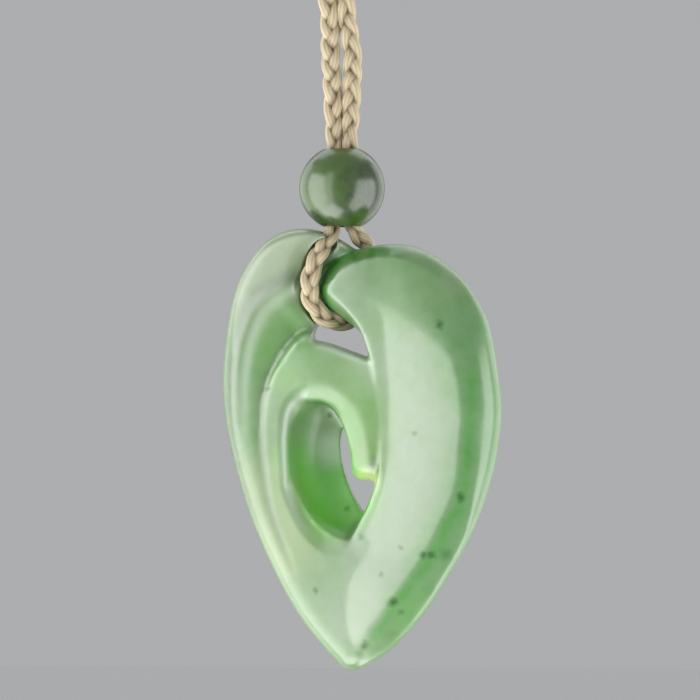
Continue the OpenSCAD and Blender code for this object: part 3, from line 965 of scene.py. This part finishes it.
# Zones that reach through the front as rods, with the same columns
# The first is a painted reflection in the bowl, the second a painted glow at the arm's tip, and the third
# painted shade in the channel's top.
rod_zones = [
    (-1.4, -30.5, 1.8, 0.7, 0.75, (0.42, 0.55, 0.4)), (3, -34, 1.3, 0.6, 0.8, (0.55, 0.66, 0.26)),
    (-6.3, -15.4, 2.3, 0.8, 0.7, (0.075, 0.23, 0.03)), (-6.7, -22, 1.4, 0.9, 0.4, (0.16, 0.35, 0.03)),
    (-1.5, -46.5, 4, 0.6, 0.45, (0.13, 0.25, 0.1)), (1.5, -12, 3, 0.7, 0.5, (0.1, 0.2, 0.08)),
]
# Painted shade: the wall round the head is darkened where the cord and the shoulder shade it. Columns: x,
# z, radius in millimetres
shaded_walls = [
    (-2.7, -12, 1.4), (-2.3, -10.3, 1.2), (-2.1, -14, 1.2), (-1.2, -9.1, 1), (0.2, -8.4, 0.9),
    (1.8, -7.9, 0.85), (3.4, -7.5, 0.8), (5, -7.2, 0.8), (6.8, -7.3, 0.7),
]
WALL_SOFTNESS, wall_spread = 0.6, 1.15
wall_shade_zones = [(x, z, radius * wall_spread, WALL_SOFTNESS, 1, wall_shade_green) for x, z, radius in shaded_walls]
print("specks:", len(specks), "in front,", len(back_specks), "at the back")

# %% Green of the stone
stone_finish, tree, shader = new_finish(
    "polished_jade", IOR=1.62, Specular_IOR_Level=1.0, Subsurface_Weight=0.35, Subsurface_Scale=0.0015)
shader.inputs["Subsurface Radius"].default_value = (0.6, 1.0, 0.45)
place = node(tree, "ShaderNodeTexCoord", {}, {}, "Object")
# The same place without its depth
flat = Vector((1, 0, 1))
flat_place = node(tree, "ShaderNodeVectorMath", {"operation": "MULTIPLY"}, {0: place, 1: flat})
front = point_value(tree, "in_front")


def on_stone(x, z, y=-4.0):
    """A place on the front of the hanging stone, from millimetres under the bead."""
    return hang @ Vector((x, y, z))


def painted(green, spots, rods=False):
    """A green with colour zones over it. They are balls, or rods that reach through the front."""
    for x, z, radius, softness, strength, colour in spots:
        if rods:
            mark = ball_mask(tree, flat_place, on_stone(x, z) * flat, radius * MM, softness) * front
        else:
            mark = ball_mask(tree, place, on_stone(x, z), radius * MM, softness)
        green = blend(tree, mark * strength, green, colour)
    return green


clouds = noise(tree, place, 130, 4.0)
drift = noise(tree, place, 45, 2.0)
patchy = rising(tree, clouds * 0.6 + drift * 0.4, 0.36, 0.64)
green = blend(tree, patchy, (0.09, 0.23, 0.05), (0.17, 0.29, 0.125))
green = painted(green, zones)
bulge_in = point_value(tree, "bulge")
# Painted highlight: the edges that stand out are paler, as if they caught the light
green = blend(tree, rising(tree, bulge_in, 0.06, 0.25, 0.38), green, (0.34, 0.38, 0.3))
# Painted highlight and shade beside the carved lines
band_colours = {
    "painted_shade_band": (0.08, 0.14, 0.06), "painted_highlight_band": (0.42, 0.52, 0.4), "painted_deep_shade_band": (0.035, 0.24, 0.01),
}
for kind, colour in band_colours.items():
    green = blend(tree, point_value(tree, kind), green, colour)
# Painted shade: the hollows are darker and more saturated
green = blend(tree, rising(tree, bulge_in, -0.03, -0.3, 0.35), green, (0.05, 0.21, 0.025))
green = painted(green, wall_shade_zones, rods=True)
green = painted(green, rod_zones, rods=True)
green = painted(green, smudge_zones)
mottle = noise(tree, place, 520, 5.0, 0.65)
green = blend(tree, rising(tree, mottle, 0.35, 0.65, 0.14), green, (0.33, 0.42, 0.3))
feed(shader, "Base Color", green)

# %% Polish and specks of the stone
grain = noise(tree, place, 900, 3.0, 0.6)
feed(shader, "Roughness", grain * 0.06 + 0.27)
feed(shader, "Normal", dented(tree, noise(tree, place, 160, 1.0), 0.08, 0.0004))
# Specks are balls in a slightly stirred space, so that none is round
stir = 0.0008
SPECK_SOFTNESS, speck_strength = 0.9, 0.9
stirring = node(tree, "ShaderNodeTexNoise", {}, {"Vector": place, "Scale": 1100.0, "Detail": 2.0}, "Color")
stirred = node(tree, "ShaderNodeVectorMath", {"operation": "MULTIPLY_ADD"},
               {0: stirring, 1: flat * stir, 2: flat_place})
speck = 0.0
for side, spots in ((front, specks), (1 - front, back_specks)):
    for x, z, radius, strength in spots:
        middle = (on_stone(x, z) + Vector((stir, 0, stir)) / 2) * flat
        mark = ball_mask(tree, stirred, middle, radius * MM, SPECK_SOFTNESS)
        speck = (mark * (strength * speck_strength) * side).highest(speck)
# The specks are a duller, darker mineral, so they get a surface of their own
speck_surface = node(tree, "ShaderNodeBsdfPrincipled", {}, {
    "Base Color": (0.02, 0.1, 0.012, 1), "Roughness": 0.4, "Specular IOR Level": 0.35})
surface = node(tree, "ShaderNodeMixShader", {}, {
    0: speck, 1: Amount(tree, shader.outputs[0]), 2: speck_surface})
tree.links.new(surface.out, tree.nodes["Material Output"].inputs["Surface"])
dress(stone, stone_finish)
print("stone finish:", len(tree.nodes), "nodes")

# %% [markdown]
# ## The bead
# The bead is a ball of darker stone with a drilled hole for both strands. It could stay a plain
# sphere, but the drilled rims catch light and need their small rounding. A ball that is drilled with
# a boolean and bevelled gets thin, uneven faces there, so the bead is turned as on a lathe: one
# section through ball, rims and hole is spun round the hole's axis.

# %% Turn the bead
bore_radius = 1.92
rim_radius = 0.2
BEAD_STEPS = 112
BALL_POINTS, RIM_POINTS, BORE_POINTS = 72, 9, 10
# Points closer than this are one, in millimetres
SEAM_GAP = 0.001


def arc(x, z, radius, start, end, count):
    """Points on an arc round a middle, from one angle to another."""
    return [(x + radius * math.cos(a), z + radius * math.sin(a)) for a in np.linspace(start, end, count)]


rim_middle = bore_radius + rim_radius
rim_height = math.sqrt((bead_radius - rim_radius) ** 2 - rim_middle ** 2)
touch = math.atan2(rim_height, rim_middle)
top_rim = arc(rim_middle, rim_height, rim_radius, math.pi, touch, RIM_POINTS)[:-1]
low_rim = [(x, -z) for x, z in reversed(top_rim)]
bore = [(bore_radius, z) for z in np.linspace(-rim_height, rim_height, BORE_POINTS)[1:-1]]
bead_section = arc(0, 0, bead_radius, touch, -touch, BALL_POINTS) + low_rim + bore + top_rim
bpy.ops.object.select_all(action="DESELECT")
bpy.ops.mesh.primitive_circle_add(vertices=len(bead_section))
bead = bpy.context.object
bead.name = "drilled_bead"
for vertex, (x, z) in zip(bead.data.vertices, bead_section):
    vertex.co = (x, 0, z)
bpy.ops.object.mode_set(mode="EDIT")
bpy.ops.mesh.select_all(action="SELECT")
bpy.ops.mesh.spin(steps=BEAD_STEPS, angle=2 * math.pi, center=(0, 0, 0), axis=(0, 0, 1))
bpy.ops.mesh.select_all(action="SELECT")
bpy.ops.mesh.remove_doubles(threshold=SEAM_GAP)
bpy.ops.object.mode_set(mode="OBJECT")
outward(bead)
settled(bead, in_frame(bead_middle))
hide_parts("bead")
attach(bead, "root")
print("bead:", len(bead.data.polygons), "faces")

# %% Bead finish
bead_finish, tree, shader = new_finish(
    "dark_polished_jade", IOR=1.62, Specular_IOR_Level=0.8, Subsurface_Weight=0.15, Subsurface_Scale=0.001)
shader.inputs["Subsurface Radius"].default_value = (0.5, 1.0, 0.4)
place = node(tree, "ShaderNodeTexCoord", {}, {}, "Object")
clouds = noise(tree, place, 170, 3.0)
grain = noise(tree, place, 1200, 3.0, 0.6)
mottle = noise(tree, place, 480, 5.0, 0.65)
bead_green = blend(tree, rising(tree, clouds, 0.4, 0.62), (0.009, 0.028, 0.004), (0.045, 0.105, 0.01))
bead_green = blend(tree, rising(tree, mottle, 0.4, 0.62, 0.35), bead_green, (0.07, 0.12, 0.03))
feed(shader, "Base Color", bead_green)
feed(shader, "Roughness", grain * 0.1 + 0.2)
dress(bead, bead_finish)
print("bead finish:", len(tree.nodes), "nodes")

# %% [markdown]
# ## The plaited cord
# The cord is a plait of three strands, as hair is plaited: each strand swings from edge to edge and
# passes over one neighbour on its way out and under the other on its way back. Seen from the front,
# its path is a wave across the cord, and seen from the edge a wave of half that length. Each strand is
# swept along the route as a nearly round tube. The rings are close together where the photograph
# looks closely and wider apart up to the nape. Between the bead's rims both strands of the cord are
# pressed flat, as in the frame.

# %% Plait the cord
PLAIT_TURN = 7.8
STRANDS = 3
STRAND_SIDES = 16
# Swing of a strand's middle line across and into the cord, and the half sizes of one strand, in mm
swing_across, swing_into = 0.53, 0.34
strand_wide, strand_thick = 0.62, 0.5
# Hand-made unevenness. Columns: share of a turn, length of the wave in millimetres, its start.
uneven = [(0.035, 13.7, 0), (0.02, 5.1, 1)]
# Distance between rings near the stone and on the way to the nape, and the height where it changes
near_step, far_step = 0.2, 0.55
near_height = 42
# Columns: distance over or under the bead's middle, half width, half depth.
squeeze = [(0, 0.95, 1.3), (5.2, 0.95, 1.3), (7, 1.05, 1.2), (9.5, cord_radius, cord_radius)]


def plait_runs():
    """Distances along the cord at which the strands get a ring."""
    runs = [0.0]
    while runs[-1] < cord_length:
        height = np.interp(runs[-1], cord_run, cord_line[:, 2])
        runs.append(runs[-1] + (near_step if height < near_height else far_step))
    runs[-1] = cord_length
    return np.array(runs)


def unit(rows):
    """Rows made one long."""
    return rows / np.linalg.norm(rows, axis=1)[:, None]


def carried_frames(points):
    """Directions along a line and two across it that don't twist."""
    along = unit(np.gradient(points, axis=0))
    first = np.zeros_like(along)
    first[0] = (0, 1, 0)
    for k in range(1, len(points)):
        carried = first[k - 1] - along[k] * (first[k - 1] @ along[k])
        first[k] = carried / np.linalg.norm(carried)
    second = np.cross(along, first)
    # What the loop under the bead has turned the frames by is given back evenly on that loop
    missing = math.atan2(second[-1][1], first[-1][1])
    under_bead = points[:, 2] < turn_start
    given = missing * np.cumsum(under_bead)[:, None] / under_bead.sum()
    into = first * np.cos(given) + second * np.sin(given)
    across = second * np.cos(given) - first * np.sin(given)
    return along, into, across


def strand_rings(points, runs, which):
    """Rings of one strand, and how far each ring's points lie from the cord's middle line."""
    along, into, across = carried_frames(points)
    turns = runs / PLAIT_TURN + which / STRANDS
    for share, length, start in uneven:
        turns = turns + share * np.sin(2 * math.pi * runs / length + start + which)
    phase = 2 * math.pi * turns
    swing = across * (swing_across * np.sin(phase))[:, None]
    swing = swing + into * (swing_into * np.sin(2 * phase))[:, None]
    slope = unit(np.gradient(swing, runs, axis=0) + along)
    wide_way = unit(np.cross(slope, into))
    thick_way = np.cross(wide_way, slope)
    around = 2 * math.pi * np.arange(STRAND_SIDES) / STRAND_SIDES
    rings = (
        swing[:, None, :]
        + wide_way[:, None, :] * (strand_wide * np.cos(around))[None, :, None]
        + thick_way[:, None, :] * (strand_thick * np.sin(around))[None, :, None]
    )
    depth = np.linalg.norm(rings, axis=2) / cord_radius
    half_width, half_depth = read_off(squeeze, np.abs(points[:, 2]))
    rings[:, :, 0] *= half_width[:, None] / cord_radius
    rings[:, :, 1] *= half_depth[:, None] / cord_radius
    return rings + points[:, None, :], depth


runs = plait_runs()
cord_middle = cord_at(runs)
points, faces, depths, lengths = [], [], [], []
for which in range(STRANDS):
    rings, depth = strand_rings(cord_middle, runs, which)
    faces += ring_faces(len(rings), STRAND_SIDES, len(points))
    points += rings.reshape(-1, 3).tolist()
    depths += depth.reshape(-1).tolist()
    lengths += np.repeat(runs, STRAND_SIDES).tolist()
plait = new_piece("plaited_cord", points, faces)
keep_at_points(plait.data, "depth", depths)
# The strand's own map: round it from one side to the other, and along the cord in units of 10 mm
MAP_UNIT = 10
strand_map = plait.data.uv_layers.new(name="strand")
for loop in plait.data.loops:
    around = (loop.vertex_index % STRAND_SIDES) / STRAND_SIDES
    strand_map.data[loop.index].uv = (abs(around * 2 - 1), lengths[loop.vertex_index] / MAP_UNIT)
settled(plait, in_frame(bead_middle))
outward(plait)
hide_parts("cord")
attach(plait, "root")
print("plait:", len(plait.data.polygons), "faces,", len(runs), "rings")

# %% Cord finish
cord_finish, tree, shader = new_finish(
    "waxed_plait", Roughness=0.62, IOR=1.45, Sheen_Weight=0.15, Sheen_Roughness=0.4,
    Subsurface_Weight=0.1, Subsurface_Scale=0.0004)
place = node(tree, "ShaderNodeTexCoord", {}, {}, "Object")
strand_place = node(tree, "ShaderNodeUVMap", {"uv_map": "strand"}, {})
stretched = node(tree, "ShaderNodeMapping", {},
                 {"Vector": strand_place, "Rotation": (0, 0, 0.12), "Scale": (26, 3, 1)})
fibres = noise(tree, stretched, 1.0, 3.0, 0.6)
slanted = node(tree, "ShaderNodeMapping", {}, {"Vector": strand_place, "Rotation": (0, 0, 0.2)})
threads = node(tree, "ShaderNodeTexWave", {"wave_type": "BANDS", "bands_direction": "X"},
               {"Vector": slanted, "Scale": 1.4, "Distortion": 1.2, "Detail": 2.0, "Detail Scale": 3.0},
               "Fac")
lines = fibres * 0.5 + threads * 0.5
wear = noise(tree, place, 350, 3.0)
# Painted shade: the strands are darker where they lie deep in the plait, between its lobes
shade = rising(tree, point_value(tree, "depth"), 0.44, 0.72)
beige = blend(tree, lines, (0.31, 0.24, 0.13), (0.65, 0.56, 0.38))
beige = blend(tree, wear * 0.5, beige, (0.6, 0.5, 0.33))
beige = blend(tree, shade, (0.13, 0.09, 0.045), beige)
feed(shader, "Base Color", beige)
feed(shader, "Normal", dented(tree, lines, 0.5, 0.0001))
dress(plait, cord_finish)
print("cord finish:", len(tree.nodes), "nodes")

# %% [markdown]
# ## The join at the nape
# The photograph doesn't reach the nape, so the join is the plainest real one: the cord's two ends are
# butted and whipped with thread. The whipping is one thread on a helix, touching turn by turn.

# %% Wind the whipping
join_low, join_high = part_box("cord_join")
join_middle = (join_low + join_high) / 2
join_length = (join_high.x - join_low.x) / MM
thread_radius = 0.3
winding_radius = (join_high.z - join_low.z) / 2 / MM - thread_radius
TURN_STEPS = 28
THREAD_SIDES = 10
thread_run = join_length - 2 * thread_radius
turns = int(thread_run / (2 * thread_radius))
steps = turns * TURN_STEPS
thread = []
for k in range(steps + 1):
    angle = 2 * math.pi * k / TURN_STEPS
    x = (k / steps - 0.5) * thread_run
    thread.append((x, winding_radius * math.cos(angle), winding_radius * math.sin(angle)))
thread = np.array(thread)
out_way = thread * (0, 1, 1) / winding_radius
side_way = np.cross(unit(np.gradient(thread, axis=0)), out_way)
ways = zip(thread, out_way, side_way)
thread_rings = [circle(middle, out, side, thread_radius, THREAD_SIDES) for middle, out, side in ways]
whipping = settled(loft("thread_whipping", thread_rings), in_frame(join_middle))
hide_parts("cord_join")
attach(whipping, "root")
print("whipping:", len(whipping.data.polygons), "faces,", turns, "turns")

# %% Thread finish
thread_finish, tree, shader = new_finish("waxed_thread", IOR=1.45, Sheen_Weight=0.1)
place = node(tree, "ShaderNodeTexCoord", {}, {}, "Object")
fuzz = noise(tree, place, 2600, 3.0, 0.6)
tone = noise(tree, place, 300, 2.0)
feed(shader, "Base Color", blend(tree, tone, (0.36, 0.27, 0.16), (0.56, 0.46, 0.3)))
feed(shader, "Roughness", fuzz * 0.2 + 0.5)
feed(shader, "Normal", dented(tree, fuzz, 0.3, 0.00005))
dress(whipping, thread_finish)
print("thread finish:", len(tree.nodes), "nodes")

# %% [markdown]
# ## Floor, light and camera
# The necklace hangs high over a plain pale floor, so that the lit floor stays even in a view from
# above. Soft panels stand round the stone, as in a studio. A large one on the left whitens every face
# that looks that way, one under it and a narrow screen in front carry that light round, and a weaker
# one fills from the right. Three more stand behind the stone, at both sides and above, for its pale
# rim. The pale surroundings lighten the shadows.

# %% Floor and surroundings
floor_height = -3
bpy.ops.object.select_all(action="DESELECT")
bpy.ops.mesh.primitive_plane_add(size=60, location=(0, 0, floor_height))
floor = bpy.context.object
floor.name = "pale_floor"
floor_finish, _, _ = new_finish("pale_floor", Roughness=0.9, Base_Color=(0.97, 0.97, 0.97, 1))
dress(floor, floor_finish)
world = bpy.data.worlds.new("pale_surroundings")
world.use_nodes = True
surroundings = world.node_tree.nodes["Background"]
surroundings.inputs["Color"].default_value = (0.97, 0.98, 1, 1)
surroundings.inputs["Strength"].default_value = 0.43
bpy.context.scene.world = world
print("floor at", floor_height, "m")

# %% Softboxes
CAMERA_AZIMUTH = math.radians(3)
stone_middle = hang @ Vector((2, 0, -30))


def softbox(name, azimuth, elevation, away, width, height, brightness):
    """An area light that faces the stone. Its azimuth is from the camera's side, negative to the left."""
    turn = math.radians(azimuth) + CAMERA_AZIMUTH
    rise = math.radians(elevation)
    way = Vector((math.sin(turn) * math.cos(rise), -math.cos(turn) * math.cos(rise), math.sin(rise)))
    light = bpy.data.lights.new(name, "AREA")
    light.shape = "RECTANGLE"
    light.size = width
    light.size_y = height
    light.energy = brightness * math.pi * width * height
    lamp = bpy.data.objects.new(name, light)
    bpy.context.collection.objects.link(lamp)
    lamp.location = stone_middle + way * away
    lamp.rotation_euler = (-way).to_track_quat("-Z", "Y").to_euler()
    lamp.visible_camera = False


# Columns: name, azimuth and elevation in degrees, distance, width and height in metres, brightness
panels = [
    ("left_softbox", -74, -5, 0.55, 0.6, 0.8, 2.9),
    ("lower_left_softbox", -64, -62, 0.5, 0.5, 0.36, 3.3),
    ("left_screen", -35, 0, 0.6, 0.17, 1.0, 1.6),
    ("right_softbox", 70, -20, 0.6, 0.8, 1.0, 2.4),
    ("left_rim_light", -130, 0, 0.7, 0.5, 1.0, 1.2),
    ("right_rim_light", 135, 0, 0.7, 0.5, 1.0, 1.0),
    ("top_rim_light", 180, 55, 0.7, 0.9, 0.5, 1.2),
]
for panel in panels:
    softbox(*panel)
print("softboxes:", len(panels))

# %% Camera
camera_distance = 0.42
seen_width = PICTURE / PIXELS_PER_MM * MM
picture_middle = Vector((
    bead_middle.x + (PICTURE / 2 - BEAD_PIXEL[0]) / PIXELS_PER_MM * MM, 0,
    bead_middle.z - (PICTURE / 2 - BEAD_PIXEL[1]) / PIXELS_PER_MM * MM,
))
camera_data = bpy.data.cameras.new("camera")
camera_data.lens = camera_data.sensor_width * camera_distance / seen_width
camera_data.clip_start = 0.01
camera = bpy.data.objects.new("camera", camera_data)
bpy.context.collection.objects.link(camera)
back = Vector((math.sin(CAMERA_AZIMUTH), -math.cos(CAMERA_AZIMUTH), 0))
camera.location = picture_middle + back * camera_distance
camera.rotation_euler = (-back).to_track_quat("-Z", "Y").to_euler()
bpy.context.scene.camera = camera
bpy.context.scene.view_settings.view_transform = "Standard"
print("lens in mm:", round(camera_data.lens, 1))
